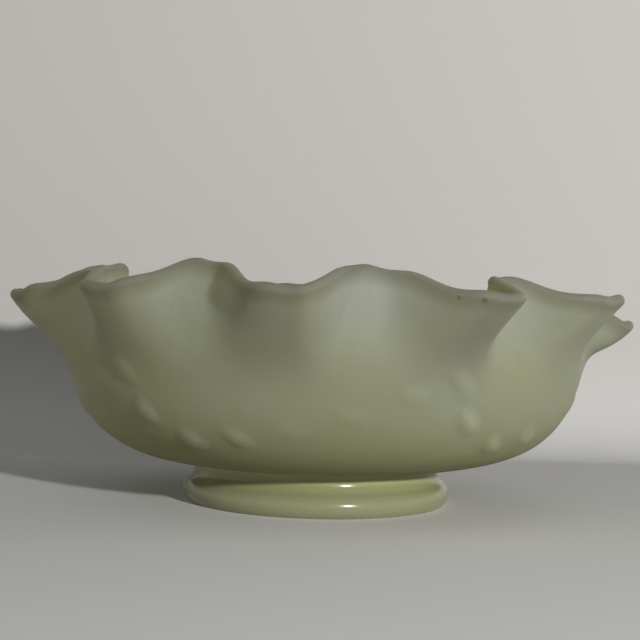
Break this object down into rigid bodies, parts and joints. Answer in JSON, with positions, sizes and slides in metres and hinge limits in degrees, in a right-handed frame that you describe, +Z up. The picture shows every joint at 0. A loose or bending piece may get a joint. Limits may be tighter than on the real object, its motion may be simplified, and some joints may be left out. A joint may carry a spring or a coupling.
{
  "type": "footed glass dish",
  "caption": "Shallow footed bowl of pale yellow-green satin glass with a crimped, ruffled rim, low leaf garlands outside and a plain round foot.",
  "frame": {"origin": "centre of the foot's rest ring, on the surface that the dish stands on", "axes": "+Z up along the foot's axis, -Y towards the pictured front, +X to the right in the picture"},
  "size_m": [0.2102, 0.2068, 0.0809],
  "materials": {
    "satin_glass": "satin, faintly translucent",
    "gloss_glass": "glossy, faintly translucent"
  },
  "bodies": {
    "root": {"foot": "gloss_glass", "joining_wafer": "gloss_glass", "bowl": "satin_glass"}
  },
  "joints": []
}
